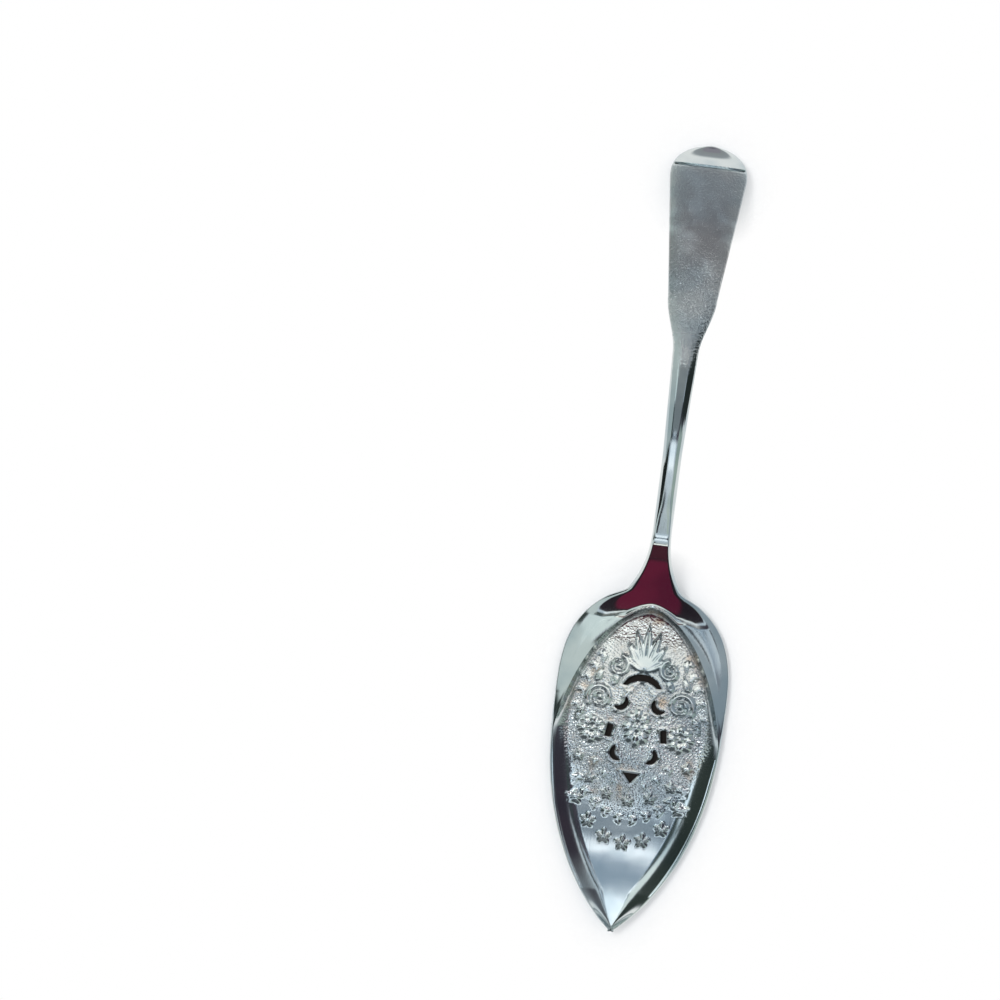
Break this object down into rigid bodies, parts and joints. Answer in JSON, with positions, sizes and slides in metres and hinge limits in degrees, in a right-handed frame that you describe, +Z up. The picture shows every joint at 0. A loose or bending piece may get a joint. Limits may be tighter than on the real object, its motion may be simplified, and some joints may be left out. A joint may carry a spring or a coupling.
{
  "type": "dessert server",
  "caption": "Pierced pie and dessert server stamped from one piece of plated metal, with a dished leaf-shaped blade and a bowed handle with a flat paddle.",
  "frame": {"origin": "centre of the outline seen from above, on the surface that the server lies on", "axes": "+Y from the tip of the blade to the end of the handle, +Z up through the good face, +X to the right"},
  "size_m": [0.0542, 0.25, 0.0259],
  "materials": {
    "silver_plate": "polished silver plate with light tarnish in the chased ornament and a satin, finely stippled handle"
  },
  "bodies": {
    "root": {"server": "silver_plate"}
  },
  "joints": []
}
